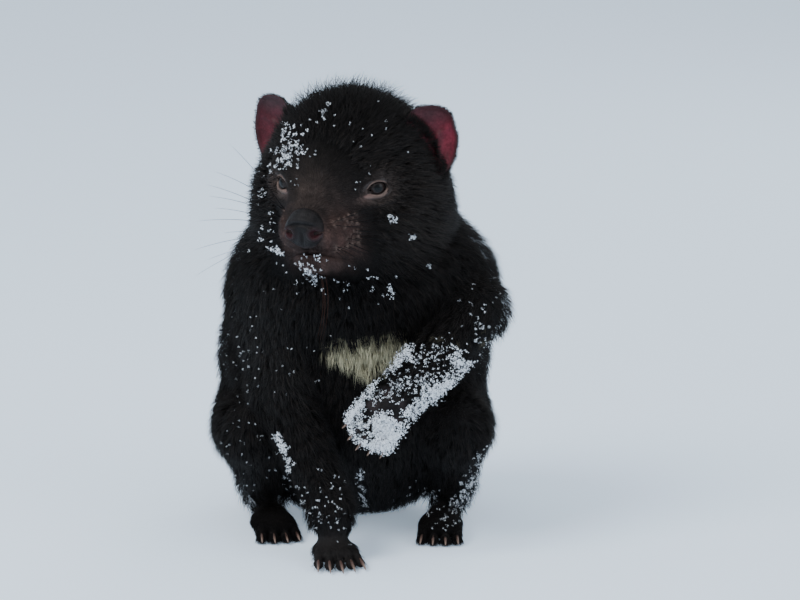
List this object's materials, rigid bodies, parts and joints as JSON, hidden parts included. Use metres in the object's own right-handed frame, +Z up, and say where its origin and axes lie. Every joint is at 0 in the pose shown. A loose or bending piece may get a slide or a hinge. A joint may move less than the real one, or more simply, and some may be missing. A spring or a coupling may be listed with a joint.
{
  "type": "tasmanian devil",
  "caption": "Young Tasmanian devil sitting upright on its haunches, head turned to one side, one forepaw on the ground and the other raised before its chest; still life-size model.",
  "frame": {"origin": "middle of the model's footprint box, on the floor", "axes": "+Z up, -Y where the chest faces, +X to the animal's left"},
  "size_m": [0.2236, 0.3748, 0.3413],
  "materials": {
    "coat": "dense short black fur with a white crescent on the chest",
    "face_coat": "very short black-brown fur, thin on the muzzle",
    "ear_skin": "bare dark red skin with a dark rim",
    "eye": "wet, near black",
    "nose_skin": "moist, finely pebbled",
    "claw": "horn, pinkish brown"
  },
  "bodies": {
    "root": {"abdomen": "coat", "claw_forepaw_left_1": "claw", "claw_forepaw_left_2": "claw", "claw_forepaw_left_3": "claw", "claw_forepaw_left_4": "claw", "claw_forepaw_left_5": "claw", "claw_forepaw_right_1": "claw", "claw_forepaw_right_2": "claw", "claw_forepaw_right_3": "claw", "claw_forepaw_right_4": "claw", "claw_forepaw_right_5": "claw", "claw_hindfoot_left_1": "claw", "claw_hindfoot_left_2": "claw", "claw_hindfoot_left_3": "claw", "claw_hindfoot_left_4": "claw", "claw_hindfoot_right_1": "claw", "claw_hindfoot_right_2": "claw", "claw_hindfoot_right_3": "claw", "claw_hindfoot_right_4": "claw", "ear_left": "ear_skin", "ear_right": "ear_skin", "eye_left": "eye", "eye_right": "eye", "forearm_left": "coat", "forearm_right": "coat", "forepaw_left": "coat", "forepaw_right": "coat", "head": "face_coat", "hindfoot_left": "coat", "hindfoot_right": "coat", "lower_jaw": "face_coat", "neck": "coat", "nose": "nose_skin", "shank_left": "coat", "shank_right": "coat", "tail_root": "coat", "tail_tip": "coat", "thigh_left": "coat", "thigh_right": "coat", "thorax": "coat", "upper_arm_left": "coat", "upper_arm_right": "coat"}
  },
  "joints": []
}
